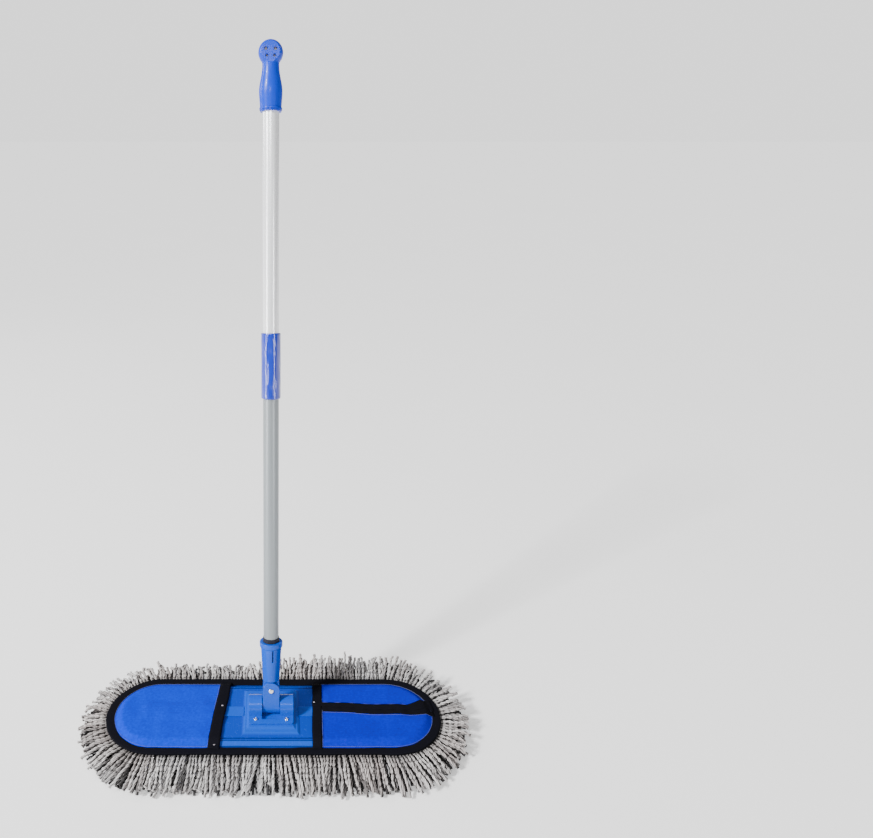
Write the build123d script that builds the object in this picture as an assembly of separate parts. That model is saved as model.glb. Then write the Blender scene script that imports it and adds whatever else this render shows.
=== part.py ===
from build123d import *
import math
import os

# A flat dust mop: a two-piece pole with a hand grip, a socket on a double hinge, a moulded base
# plate, and a stadium-shaped yarn pad whose two pockets hold the ends of the plate.
# Sizes are in millimetres and degrees. The origin is on the floor, under the middle of the pad.
# +X runs along the pad, +Y points to the rear and +Z up. The pole leans back, towards +Y.

# Pad
pad_length = 565.0
pad_width = 171.0
yarn_depth = 28.6
backing_thick = 1.4
tape_width = 13.0
tape_thick = 1.4

# Fringe, measured out from the edge of the pad
front_reach = 60.0
rear_reach = 56.0
end_reach = 50.0
front_tip_height = 9.0
rear_tip_height = 46.0
front_bend_height = 24.0
rear_bend_height = 37.0
tip_depth = 14.0
bend_share = 0.42
stations_per_end = 9

# Pockets
panel_over_spine = 0.2
panel_thick = 1.0
panel_inset = 14.5
panel_slope = 45.0
mouth_tape_width = 16.0
mouth_tape_thick = 0.8
plain_mouth_front_x = -101.0
plain_mouth_rear_x = -83.4
split_mouth_front_x = 68.6
split_mouth_rear_x = 76.8
slit_y = 5.0
slit_gap = 0.6
slit_tape_width = 12.2

# Base plate
plate_shift = -4.0
plate_side_clearance = 0.6
plate_end_clearance = 12.1
plate_edge_height = 6.0
plate_edge_slope = 55.0
plate_roof = 3.0
plate_rim = 14.0
plate_rib_width = 2.5
plate_rib_pitch = 46.0
plate_hub_half_length = 62.0
groove_from_middle = 58.0
groove_width = 2.4
groove_depth = 1.0
groove_from_plate_end = 40.0
lower_tier_length = 96.0
lower_tier_width = 104.0
lower_tier_height = 2.6
upper_tier_length = 82.0
upper_tier_width = 84.0
upper_tier_height = 2.4
tier_slope = 60.0
spine_width = 22.0
spine_height = 2.2
spine_inner_end = 46.0
spine_from_plate_end = 39.0

# Pivot bracket
hinge_rise = 11.0
hump_radius = 17.0
bracket_length = 74.8
flange_bridge = 10.0
flange_thick = 3.0
flange_corner = 4.0
window_side_clearance = 1.1
window_sweep_clearance = 3.6
recess_clearance = 0.8
shaft_radius = 4.0
hump_end_wall = 3.4
cradle_clearance = 0.2
screw_x = 25.6
screw_y = 25.0
screw_radius = 2.0
screw_reach = 11.0
screw_head_radius = 3.5
screw_head_height = 2.2
cross_slot_length = 4.0
cross_slot_width = 0.9
cross_slot_depth = 1.1

# Yoke and rivet
lean = 12.0
lean_limit = 75.0
yoke_width = 28.0
yoke_depth = 26.0
barrel_end_clearance = 0.35
running_clearance = 0.05
ear_thick = 5.4
rivet_height = 32.0
rivet_radius = 2.5
rivet_head_radius = 4.35
rivet_head_height = 2.4
rivet_tail_radius = 3.6
washer_radius = 5.6
washer_thick = 1.0

# Socket
tongue_gap = 0.25
tongue_in_yoke = 0.6
tongue_over_floor = 3.1
swing_clearance = 1.6
socket_foot_wall = 0.2
socket_top_wall = 3.9
lip_bottom = 107.0
lip_top = 116.0
lip_overhang = 1.8
lip_round = 1.6
socket_floor = 62.0
collar_fit = 0.1
slit_width = 2.0
slit_length = 21.0
slit_below_lip = 1.5
slit_turn = 10.0

# Pole
pole_radius = 12.5
pole_wall = 0.9
collar_wall = 1.0
collar_end = 2.0
collar_floor_gap = 0.3
collar_top = 123.0
pole_joint = 575.5
pole_joint_gap = 0.5
plug_reach = 60.0
plug_wall = 2.0
plug_fit = 0.08
sleeve_length = 103.0
sleeve_wall = 3.0
sleeve_round = 2.0

# Hand grip
grip_length = 100.0
grip_foot_wall = 3.3
grip_ring_overhang = 1.1
grip_ring_height = 3.0
grip_ring_from_foot = 2.2
grip_belly_wall = 4.7
grip_belly_from_top = 68.0
grip_neck_radius = 12.4
grip_neck_from_top = 34.0
grip_ball_radius = 18.2
grip_ball_meets_neck = 35.0
grip_flat_half = 12.0
grip_bore_depth = 46.0
upper_hole_radius = 2.75
upper_hole_spacing = 14.0
upper_hole_from_top = 15.0
lower_hole_radius = 2.25
lower_hole_spacing = 11.0
lower_hole_from_top = 24.5
pole_total = 1052.0

# Higher than everything but the pole, for cuts that go right through
ABOVE_ALL = 100.0

# Sizes and places worked out from the sizes above
panel_height = plate_edge_height + spine_height + panel_over_spine + panel_thick
panel_foot_inset = panel_inset + panel_thick / math.cos(math.radians(panel_slope))
plate_length = pad_length - 2 * (panel_foot_inset + plate_end_clearance)
plate_width = pad_width - 2 * (panel_foot_inset + plate_side_clearance)
backing_top = yarn_depth + backing_thick
plate_top = backing_top + plate_edge_height
lower_tier_top = plate_top + lower_tier_height
deck_top = lower_tier_top + upper_tier_height
hinge_height = deck_top + hinge_rise
flange_top = deck_top + flange_thick
barrel_radius = yoke_depth / 2
recess_floor = hinge_height - barrel_radius - recess_clearance
shaft_length = bracket_length - 2 * hump_end_wall
window_width = yoke_width + 2 * window_side_clearance
end_centre_x = (pad_length - pad_width) / 2
yarn_top = yarn_depth - tape_thick
tongue_radius = yoke_width / 2 - tongue_in_yoke
fork_floor = rivet_height - tongue_radius - tongue_over_floor
socket_foot = rivet_height + yoke_width / 2 + swing_clearance
collar_radius = pole_radius + collar_wall
socket_bore_radius = collar_radius + collar_fit
socket_foot_radius = socket_bore_radius + socket_foot_wall
socket_top_radius = socket_bore_radius + socket_top_wall
lip_radius = socket_top_radius + lip_overhang
sleeve_radius = pole_radius + sleeve_wall
grip_foot_radius = pole_radius + grip_foot_wall
grip_ring_radius = grip_foot_radius + grip_ring_overhang
grip_belly_radius = pole_radius + grip_belly_wall
collar_bottom = socket_floor + collar_floor_gap
pole_bottom = collar_bottom + collar_end
plug_radius = pole_radius - pole_wall
grip_bottom = pole_total - grip_length
ball_centre = pole_total - grip_ball_radius
upper_pole_top = grip_bottom + grip_bore_depth
fork_half_gap = yoke_depth / 2 - ear_thick
tongue_half = fork_half_gap - tongue_gap


def ear_sweep():
    """How far from the hinge the leaning yoke still dips below the top of the flange."""
    tilt = math.radians(lean_limit)
    flange_drop = hinge_height - flange_top
    along = (barrel_radius * math.sin(tilt) - flange_drop) / math.cos(tilt)
    return along * math.sin(tilt) + barrel_radius * math.cos(tilt)


window_depth = 2 * (ear_sweep() + window_sweep_clearance)
bracket_depth = window_depth + 2 * flange_bridge


def in_handle(shape):
    """Leans a piece that was built upright on the hinge axis, and sets it on the hinge."""
    return Pos(plate_shift, 0, hinge_height) * Rot(-lean, 0, 0) * shape


def block(x0, x1, y0, y1, z0, z1):
    """A box between two corners."""
    middle = Pos((x0 + x1) / 2, (y0 + y1) / 2, (z0 + z1) / 2)
    return middle * Box(x1 - x0, y1 - y0, z1 - z0)


def rod(radius, bottom, top):
    """A cylinder along Z."""
    return Pos(0, 0, (bottom + top) / 2) * Cylinder(radius, top - bottom)


def rod_along_y(radius, length, x=0.0, z=0.0):
    return Pos(x, 0, z) * Rot(90, 0, 0) * Cylinder(radius, length)


def rod_along_x(radius, length, z=0.0):
    return Pos(0, 0, z) * Rot(0, 90, 0) * Cylinder(radius, length)


def tube(outer, inner, bottom, top):
    return rod(outer, bottom, top) - rod(inner, bottom - 1, top + 1)


def stadium(inset, length=pad_length, width=pad_width):
    """The flat outline of the pad or plate, moved inwards by an inset."""
    return SlotOverall(length - 2 * inset, width - 2 * inset)


def slab(outline, bottom, height, slope=0.0):
    """An outline raised from a level, with walls that lean inwards by a slope."""
    return Pos(0, 0, bottom) * extrude(outline, amount=height, taper=slope)


# ---- Pad -------------------------------------------------------------------------------------


def make_backing():
    return slab(stadium(tape_thick), yarn_depth, backing_thick)


def make_edge_tape():
    """Tape folded round the edge of the backing, seen from above, outside and below."""
    outside = slab(stadium(0), yarn_top, backing_thick + 2 * tape_thick)
    middle = slab(stadium(tape_width), yarn_top - 1, backing_thick + 2 * tape_thick + 2)
    return outside - middle - make_backing()


def make_yarn_underside():
    return slab(stadium(tape_width), 0, yarn_depth)


def fringe_section(x, y, turn):
    """The fringe's cross-section at a point of the pad's edge that faces the angle turn."""
    rearness = (1 + math.sin(math.radians(turn))) / 2
    straight_reach = front_reach + (rear_reach - front_reach) * rearness
    reach = straight_reach + (end_reach - straight_reach) * abs(math.cos(math.radians(turn)))
    tip = front_tip_height + (rear_tip_height - front_tip_height) * rearness
    bend = front_bend_height + (rear_bend_height - front_bend_height) * rearness
    tip_under = max(0.0, tip - tip_depth)
    bend_under = tip_under * bend_share
    bend_out = reach * bend_share
    profile = [
        (-tape_width, 0),
        (-tape_width, yarn_top),
        (tape_thick / 2, yarn_top),
        (bend_out, bend),
        (reach, tip),
        (reach, tip_under),
        (bend_out, bend_under),
    ]
    ux, uy = math.cos(math.radians(turn)), math.sin(math.radians(turn))
    points = [(x + ux * out, y + uy * out, height) for out, height in profile]
    return Wire.make_polygon(points, close=True)


def make_fringe_side(turn):
    """The straight fringe along the front or the rear edge."""
    y = math.copysign(pad_width / 2, turn)
    ends = [fringe_section(x, y, turn) for x in (-end_centre_x, end_centre_x)]
    return Solid.make_loft(ends, ruled=True)


def make_fringe_end(side):
    """The fringe round one end, from the front edge to the rear edge."""
    sections = []
    for i in range(stations_per_end):
        swing = -90 + 180 * i / (stations_per_end - 1)
        turn = swing if side > 0 else 180 - swing
        x = side * end_centre_x + pad_width / 2 * math.cos(math.radians(turn))
        y = pad_width / 2 * math.sin(math.radians(turn))
        sections.append(fringe_section(x, y, turn))
    band = Solid.make_loft(sections, ruled=True)
    return band - make_yarn_underside() - slab(stadium(0), yarn_top, ABOVE_ALL)


# ---- Pockets ---------------------------------------------------------------------------------


def dome(outset):
    """The solid under a surface that lies an outset above the pockets' upper face."""
    foot = outset / math.cos(math.radians(panel_slope))
    return slab(stadium(panel_inset - foot), backing_top, panel_height + outset, panel_slope)


def mouth_x(front_x, rear_x, y):
    return front_x + (rear_x - front_x) * (y / pad_width + 0.5)


def beyond_mouth(front_x, rear_x, side, shift=0.0):
    """Everything on one side of a pocket's mouth line, moved by a shift along X."""
    y = pad_width
    line_front = mouth_x(front_x, rear_x, -y) + shift
    line_rear = mouth_x(front_x, rear_x, y) + shift
    far = side * pad_length
    region = Polygon((line_front, -y), (line_rear, y), (far, y), (far, -y), align=None)
    return extrude(region, amount=ABOVE_ALL, dir=(0, 0, 1))


def mouth_band(front_x, rear_x, side):
    """The band that a mouth tape covers."""
    half = mouth_tape_width / 2
    near = beyond_mouth(front_x, rear_x, side, -side * half)
    return near - beyond_mouth(front_x, rear_x, side, side * half)


def rear_of_slit(shift=0.0):
    return block(-pad_length, pad_length, slit_y + slit_gap / 2 + shift, pad_width, 0, ABOVE_ALL)


def front_of_slit(shift=0.0):
    return block(-pad_length, pad_length, -pad_width, slit_y - slit_gap / 2 - shift, 0, ABOVE_ALL)


def make_panel_layer():
    return dome(0) - dome(-panel_thick)


def make_tape_layer():
    return dome(mouth_tape_thick) - dome(0)


def make_plain_pocket():
    return make_panel_layer() & beyond_mouth(plain_mouth_front_x, plain_mouth_rear_x, -1)


def make_split_panel(half):
    opened = beyond_mouth(split_mouth_front_x, split_mouth_rear_x, 1)
    return make_panel_layer() & opened & half()


def make_plain_mouth_tape():
    return make_tape_layer() & mouth_band(plain_mouth_front_x, plain_mouth_rear_x, -1)


def make_split_mouth_tape(half):
    return make_tape_layer() & mouth_band(split_mouth_front_x, split_mouth_rear_x, 1) & half()


def make_slit_tape(half):
    """The tape along one side of the slit, from the mouth tape to the end of the pad."""
    after_mouth = beyond_mouth(split_mouth_front_x, split_mouth_rear_x, 1, mouth_tape_width / 2)
    band = half() - half(slit_tape_width)
    return make_tape_layer() & after_mouth & band


# ---- Plate and bracket -----------------------------------------------------------------------


def make_plate_shell():
    outline = stadium(0, plate_length, plate_width)
    groove_end = plate_length / 2 - groove_from_plate_end
    shell = slab(outline, backing_top, plate_edge_height, plate_edge_slope)
    for side in (-1, 1):
        y = side * groove_from_middle
        half = groove_width / 2
        bottom = plate_top - groove_depth
        shell -= block(-groove_end, groove_end, y - half, y + half, bottom, plate_top + 1)
    return shell - make_plate_hollow()


def make_plate_hollow():
    """The hollow under each wing, crossed by ribs."""
    height = plate_edge_height - plate_roof
    hollow = slab(stadium(plate_rim, plate_length, plate_width), backing_top, height)
    reach = plate_length / 2
    hollow -= block(-plate_hub_half_length, plate_hub_half_length, -reach, reach, 0, ABOVE_ALL)
    for side in (-1, 1):
        x = side * (plate_hub_half_length + plate_rib_pitch)
        while abs(x) < reach:
            hollow -= block(x - plate_rib_width / 2, x + plate_rib_width / 2, -reach, reach, 0, ABOVE_ALL)
            x += side * plate_rib_pitch
        y = side * plate_width / 6
        hollow -= block(-reach, reach, y - plate_rib_width / 2, y + plate_rib_width / 2, 0, ABOVE_ALL)
    return hollow


def make_spines():
    """A raised rib along each wing."""
    spines = []
    outer_end = plate_length / 2 - spine_from_plate_end
    for side in (-1, 1):
        x0, x1 = sorted((side * spine_inner_end, side * outer_end))
        half = spine_width / 2
        spines.append(block(x0, x1, -half, half, plate_top - 0.5, plate_top + spine_height))
    return spines


def make_cradles():
    """Two ribs under the shaft, which stand in the bracket's channel."""
    shaft = rod_along_x(shaft_radius, shaft_length, hinge_height)
    half = shaft_radius - cradle_clearance
    inner, outer = window_width / 2 + 1, shaft_length / 2
    ribs = []
    for side in (-1, 1):
        x0, x1 = sorted((side * inner, side * outer))
        ribs.append(block(x0, x1, -half, half, deck_top - 0.5, hinge_height) - shaft)
    return ribs


def make_base_plate():
    lower = Rectangle(lower_tier_length, lower_tier_width)
    upper = Rectangle(upper_tier_length, upper_tier_width)
    plate = make_plate_shell()
    plate += slab(lower, plate_top, lower_tier_height, tier_slope)
    plate += slab(upper, lower_tier_top, upper_tier_height, tier_slope)
    for piece in make_spines() + make_cradles():
        plate += piece
    half_window = window_width / 2
    half_depth = window_depth / 2
    plate -= block(-half_window, half_window, -half_depth, half_depth, recess_floor, ABOVE_ALL)
    for x, y in screw_places():
        plate -= Pos(x, y) * rod(screw_radius, flange_top - screw_reach, ABOVE_ALL)
    return Pos(plate_shift, 0, 0) * plate


def screw_places():
    return [(x, y) for x in (-screw_x, screw_x) for y in (-screw_y, screw_y)]


def make_pivot_bracket():
    """Flange and humps in one moulding, open between the humps for the yoke."""
    flange = slab(RectangleRounded(bracket_length, bracket_depth, flange_corner), deck_top, flange_thick)
    humps = rod_along_x(hump_radius, bracket_length, hinge_height)
    cheeks_half = bracket_length / 2
    cheeks = block(-cheeks_half, cheeks_half, -hump_radius, hump_radius, deck_top, hinge_height)
    below = block(-cheeks_half, cheeks_half, -bracket_depth, bracket_depth, 0, deck_top)
    bracket = (flange + humps + cheeks) - below
    half_window, half_depth = window_width / 2, window_depth / 2
    bracket -= block(-half_window, half_window, -half_depth, half_depth, 0, ABOVE_ALL)
    bracket -= rod_along_x(shaft_radius, shaft_length, hinge_height)
    half_shaft = shaft_length / 2
    bracket -= block(-half_shaft, half_shaft, -shaft_radius, shaft_radius, 0, hinge_height)
    for x, y in screw_places():
        bracket -= Pos(x, y) * rod(screw_radius, 0, ABOVE_ALL)
    return Pos(plate_shift, 0, 0) * bracket


def make_pivot_shaft():
    return Pos(plate_shift, 0, 0) * rod_along_x(shaft_radius, shaft_length, hinge_height)


def make_screw():
    """A pan-head screw with a cross slot, its head's underside at Z = 0."""
    head = rod(screw_head_radius, 0, screw_head_height)
    head = fillet(head.edges().group_by(Axis.Z)[-1], screw_head_height * 0.6)
    screw = head + rod(screw_radius, -screw_reach, 0.5)
    half, wide = cross_slot_length / 2, cross_slot_width / 2
    bottom = screw_head_height - cross_slot_depth
    screw -= block(-half, half, -wide, wide, bottom, screw_head_height + 1)
    screw -= block(-wide, wide, -half, half, bottom, screw_head_height + 1)
    return screw


def make_bracket_screws():
    screw = make_screw()
    placed = [Pos(plate_shift + x, y, flange_top) * screw for x, y in screw_places()]
    return Compound(placed)


# ---- Double hinge ----------------------------------------------------------------------------


def make_yoke():
    """A fork with a barrel at its foot, which turns on the shaft."""
    half_width, half_depth = yoke_width / 2, yoke_depth / 2
    fork = block(-half_width, half_width, -half_depth, half_depth, 0, rivet_height)
    fork += rod_along_y(half_width, yoke_depth, z=rivet_height)
    fork += rod_along_x(barrel_radius, window_width - 2 * barrel_end_clearance)
    above = rivet_height + half_width + 1
    fork -= block(-half_width - 1, half_width + 1, -fork_half_gap, fork_half_gap, fork_floor, above)
    fork -= rod_along_x(shaft_radius + running_clearance, window_width + 1)
    fork -= rod_along_y(rivet_radius, yoke_depth + 1, z=rivet_height)
    return in_handle(fork)


def make_hinge_rivet():
    """A rivet from front to rear, with a domed head in front and a formed tail behind."""
    front, rear = -yoke_depth / 2, yoke_depth / 2 + washer_thick
    head = rod(rivet_head_radius, 0, rivet_head_height)
    head = fillet(head.edges().group_by(Axis.Z)[-1], rivet_head_height * 0.7)
    tail = rod(rivet_tail_radius, 0, rivet_head_height * 0.7)
    tail = fillet(tail.edges().group_by(Axis.Z)[-1], rivet_head_height * 0.4)
    shank = Pos(0, 0, front) * rod(rivet_radius, 0, rear - front)
    upright = shank + Pos(0, 0, front) * Rot(180, 0, 0) * head + Pos(0, 0, rear) * tail
    return in_handle(Pos(0, 0, rivet_height) * Rot(-90, 0, 0) * upright)


def make_rivet_washer():
    washer = tube(washer_radius, rivet_radius, 0, washer_thick)
    return in_handle(Pos(0, yoke_depth / 2, rivet_height) * Rot(-90, 0, 0) * washer)


def make_socket():
    """The tongue between the yoke's ears, and the tapered socket that holds the pole."""
    half = tongue_half
    body = rod_along_y(tongue_radius, 2 * half, z=rivet_height)
    body += block(-tongue_radius, tongue_radius, -half, half, rivet_height, socket_foot + 4)
    outline = Polyline(
        (0, socket_foot),
        (socket_foot_radius, socket_foot),
        (socket_top_radius, lip_bottom),
        (lip_radius, lip_bottom),
        (lip_radius, lip_top),
        (0, lip_top),
        (0, socket_foot),
    )
    barrel = revolve(Plane.XZ * make_face(outline), Axis.Z)
    lip_edges = [e for e in barrel.edges().filter_by(GeomType.CIRCLE) if abs(e.radius - lip_radius) < 0.01]
    barrel = fillet(lip_edges, lip_round)
    body += barrel
    body -= rod(socket_bore_radius, socket_floor, lip_top + 1)
    body -= rod_along_y(rivet_radius + running_clearance, yoke_depth, z=rivet_height)
    top = lip_bottom - slit_below_lip
    slit = block(-slit_width / 2, slit_width / 2, -lip_radius, 0, top - slit_length, top)
    body -= Rot(0, 0, slit_turn) * slit
    return in_handle(body)


# ---- Pole ------------------------------------------------------------------------------------


def make_pole_collar():
    """The rubber end cap of the pole, which fills the socket."""
    cap = rod(collar_radius, collar_bottom, collar_top) - rod(pole_radius, pole_bottom, collar_top + 1)
    return in_handle(cap)


def make_lower_pole():
    return in_handle(tube(pole_radius, pole_radius - pole_wall, pole_bottom, pole_joint))


def make_pole_plug():
    """The plug fixed in the lower pole, on which the upper pole slides."""
    fixed = rod(plug_radius, pole_joint - plug_reach, pole_joint)
    free = rod(plug_radius - plug_fit, pole_joint, pole_joint + plug_reach)
    bore = rod(plug_radius - plug_wall, pole_joint - plug_reach - 1, pole_joint + plug_reach + 1)
    return in_handle(fixed + free - bore)


def make_joint_sleeve():
    """The sleeve over the joint, tight on the lower pole and free on the upper one."""
    bottom, top = pole_joint - sleeve_length / 2, pole_joint + sleeve_length / 2
    sleeve = rod(sleeve_radius, bottom, top)
    sleeve = fillet(sleeve.edges().filter_by(GeomType.CIRCLE), sleeve_round)
    sleeve -= rod(pole_radius, bottom - 1, pole_joint)
    sleeve -= rod(pole_radius + plug_fit, pole_joint, top + 1)
    return in_handle(sleeve)


def make_upper_pole():
    bottom = pole_joint + pole_joint_gap
    return in_handle(tube(pole_radius, pole_radius - pole_wall, bottom, upper_pole_top))


def grip_profile():
    """Half of the grip's outline, from the foot to the top of the ball."""
    belly = pole_total - grip_belly_from_top
    neck = pole_total - grip_neck_from_top
    foot = (grip_foot_radius, grip_bottom)
    upright = (0, 1)
    meet = ball_point(-grip_ball_meets_neck)
    along_ball = (meet[1] - ball_centre, meet[0])
    body = Spline(foot, (grip_belly_radius, belly), (grip_neck_radius, neck), tangents=[upright, upright])
    throat = Spline((grip_neck_radius, neck), meet, tangents=[upright, (-along_ball[0], along_ball[1])])
    ball = ThreePointArc(meet, ball_point(30), (0, pole_total))
    inside = Polyline((0, pole_total), (0, grip_bottom), foot)
    return make_face(Curve() + [body, throat, ball, inside])


def ball_point(angle):
    """A point on the ball's outline, at an angle above its middle."""
    across = grip_ball_radius * math.cos(math.radians(angle))
    return across, ball_centre + grip_ball_radius * math.sin(math.radians(angle))


def make_hand_grip():
    """A bulging grip with a ball on top, flat in front and behind, drilled for hanging."""
    grip = revolve(Plane.XZ * grip_profile(), Axis.Z)
    ring_bottom = grip_bottom + grip_ring_from_foot
    grip += rod(grip_ring_radius, ring_bottom, ring_bottom + grip_ring_height)
    neck = pole_total - grip_neck_from_top
    for side in (-1, 1):
        y0, y1 = sorted((side * grip_flat_half, side * 2 * grip_ball_radius))
        grip -= block(-2 * grip_ball_radius, 2 * grip_ball_radius, y0, y1, neck, pole_total + 1)
    grip -= rod(pole_radius, grip_bottom - 1, upper_pole_top)
    rows = (
        (upper_hole_radius, upper_hole_spacing, upper_hole_from_top),
        (lower_hole_radius, lower_hole_spacing, lower_hole_from_top),
    )
    for radius, spacing, from_top in rows:
        for side in (-1, 1):
            x = side * spacing / 2
            grip -= rod_along_y(radius, 3 * grip_ball_radius, x, pole_total - from_top)
    return in_handle(grip)


def make_all():
    return {
        "pad_backing": make_backing(),
        "edge_tape": make_edge_tape(),
        "yarn_underside": make_yarn_underside(),
        "fringe_front": make_fringe_side(-90),
        "fringe_rear": make_fringe_side(90),
        "fringe_left": make_fringe_end(-1),
        "fringe_right": make_fringe_end(1),
        "plain_pocket": make_plain_pocket(),
        "plain_mouth_tape": make_plain_mouth_tape(),
        "split_pocket_rear": make_split_panel(rear_of_slit),
        "split_pocket_front": make_split_panel(front_of_slit),
        "split_mouth_tape_rear": make_split_mouth_tape(rear_of_slit),
        "split_mouth_tape_front": make_split_mouth_tape(front_of_slit),
        "slit_tape_rear": make_slit_tape(rear_of_slit),
        "slit_tape_front": make_slit_tape(front_of_slit),
        "base_plate": make_base_plate(),
        "pivot_bracket": make_pivot_bracket(),
        "bracket_screws": make_bracket_screws(),
        "pivot_shaft": make_pivot_shaft(),
        "yoke": make_yoke(),
        "hinge_rivet": make_hinge_rivet(),
        "rivet_washer": make_rivet_washer(),
        "socket": make_socket(),
        "pole_collar": make_pole_collar(),
        "lower_pole": make_lower_pole(),
        "pole_plug": make_pole_plug(),
        "joint_sleeve": make_joint_sleeve(),
        "upper_pole": make_upper_pole(),
        "hand_grip": make_hand_grip(),
    }


os.makedirs("parts", exist_ok=True)
for node, shape in make_all().items():
    export_step(shape, f"parts/{node}.step")
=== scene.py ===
import math
import random

import bpy
from bpy.props import FloatProperty, FloatVectorProperty, IntProperty, PointerProperty
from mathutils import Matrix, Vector, noise


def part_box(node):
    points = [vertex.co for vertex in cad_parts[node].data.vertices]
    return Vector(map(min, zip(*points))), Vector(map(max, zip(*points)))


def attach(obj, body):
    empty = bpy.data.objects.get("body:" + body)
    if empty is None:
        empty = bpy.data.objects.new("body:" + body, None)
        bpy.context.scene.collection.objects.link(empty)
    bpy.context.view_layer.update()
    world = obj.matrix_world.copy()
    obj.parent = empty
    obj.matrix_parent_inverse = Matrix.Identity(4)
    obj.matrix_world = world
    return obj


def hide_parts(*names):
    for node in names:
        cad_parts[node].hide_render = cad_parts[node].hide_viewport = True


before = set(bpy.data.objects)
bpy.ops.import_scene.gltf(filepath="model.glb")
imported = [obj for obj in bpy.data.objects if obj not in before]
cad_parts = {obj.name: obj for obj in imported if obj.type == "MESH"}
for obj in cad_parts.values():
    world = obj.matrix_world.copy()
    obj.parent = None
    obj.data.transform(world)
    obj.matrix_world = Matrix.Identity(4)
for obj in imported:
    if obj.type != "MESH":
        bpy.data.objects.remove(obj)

bl_info = {
    "name": "Flat Mop Looks",
    "version": (1, 0, 0),
    "blender": (4, 5, 0),
    "location": "View3D > Sidebar > Flat Mop",
    "description": "Builds the yarn, cloth, tape, materials and stage of a flat dust mop",
    "category": "Object",
}

# Lengths are in metres. The frame's origin is on the floor under the middle of the pad.
TAPE_LOW, TAPE_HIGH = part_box("edge_tape")
PAD_LENGTH = TAPE_HIGH.x - TAPE_LOW.x
PAD_WIDTH = TAPE_HIGH.y - TAPE_LOW.y
PAD_RADIUS = PAD_WIDTH / 2
END_CENTRE = (PAD_LENGTH - PAD_WIDTH) / 2
STRAIGHT = 2 * END_CENTRE
ARC = math.pi * PAD_RADIUS
BACKING_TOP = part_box("pad_backing")[1].z
YARN_TOP = TAPE_LOW.z
FRONT_REACH = TAPE_LOW.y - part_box("fringe_front")[0].y
REAR_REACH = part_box("fringe_rear")[1].y - TAPE_HIGH.y
END_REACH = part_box("fringe_right")[1].x - TAPE_HIGH.x
REAR_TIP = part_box("fringe_rear")[1].z
PANEL_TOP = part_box("plain_pocket")[1].z
SLIT_Y = (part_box("slit_tape_rear")[0].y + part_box("slit_tape_front")[1].y) / 2
PLAIN_MOUTH = (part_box("plain_mouth_tape")[0].x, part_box("plain_mouth_tape")[1].x)
SPLIT_MOUTH = (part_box("split_mouth_tape_front")[0].x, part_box("split_mouth_tape_rear")[1].x)
PLATE_FLAT = BACKING_TOP + 0.006

TAPE_WIDTH = 0.013
# How far inside the pad's edge the pocket cloth ends, under the tape, and its hem.
TUCK = 0.009
HEM = 0.002
BACKING_INSET = 0.002
# The front lip of the slit passes this far under the rear one.
LIP_OVERLAP = 0.0014
SPLIT_MOUTH_SHIFT = 0.0012
# The plain mouth's tape sits this far towards the plate and is drawn 1.2 times as wide, so that its black
# also covers the shadow that the pocket's edge casts on the plate: painted shadow.
PLAIN_TAPE_SHIFT = 0.0015
TAPE_LIFT = 0.0012
STITCH_LIFT = 0.0013
TACK_LIFT = 0.0030

# A strand starts under the tape, bends at a share of its reach and ends in a cut tip.
ROOT_TUCK = 0.008
ROOT_DROP = 0.0035
LAYER_DROP = 0.018
BEND_SHARE = 0.42
CURL = 0.0042
HOOK = 0.0032
STRAND_STEPS = 12

# Painted shade in the yarn's twist valleys.
TWIST_SHADE_BLACK = (0.006, 0.006, 0.008)
DUST = (0.004, 0.02, 0.03)


# ---- Settings ----


class YarnSettings(bpy.types.PropertyGroup):
    strand_radius: FloatProperty(
        name="Strand radius", description="Radius of a cut strand of yarn", default=0.00285, unit="LENGTH"
    )
    strand_spacing: FloatProperty(
        name="Strand spacing", description="Distance between strands along the edge",
        default=0.0058, unit="LENGTH",
    )
    layers: IntProperty(name="Layers", description="Rows of strands, one under another", default=5, min=1)
    sway: FloatProperty(
        name="Sway", description="How far the tips of a clump lean together", default=0.011, unit="LENGTH"
    )
    seed: IntProperty(name="Seed", description="Seed of the yarn's unevenness", default=7)
    light: FloatVectorProperty(
        name="Light strands", description="Colour of the lighter yarn",
        default=(0.95, 0.93, 0.92), subtype="COLOR",
    )
    dark: FloatVectorProperty(
        name="Dark strands", description="Colour of the darker yarn",
        default=(0.50, 0.48, 0.48), subtype="COLOR",
    )


class ClothSettings(bpy.types.PropertyGroup):
    thickness: FloatProperty(
        name="Cloth thickness", description="Thickness of the canvas", default=0.0007, unit="LENGTH"
    )
    ripple: FloatProperty(
        name="Ripple", description="Height of the soft waves in the canvas", default=0.0028, unit="LENGTH"
    )
    mouth_tape: FloatProperty(
        name="Mouth tape", description="Width of the tape on a pocket's mouth", default=0.0165, unit="LENGTH"
    )
    slit_tape: FloatProperty(
        name="Slit tape", description="Width of the tape on each side of the slit",
        default=0.0118, unit="LENGTH",
    )
    left_blue: FloatVectorProperty(
        name="Plain pocket", description="Colour of the plain pocket",
        default=(0.0, 0.027, 0.60), subtype="COLOR",
    )
    right_blue: FloatVectorProperty(
        name="Split pocket", description="Colour of the split pocket",
        default=(0.0, 0.006, 0.46), subtype="COLOR",
    )
    black: FloatVectorProperty(
        name="Tape", description="Colour of the binding tape", default=(0.003, 0.003, 0.006), subtype="COLOR"
    )


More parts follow.
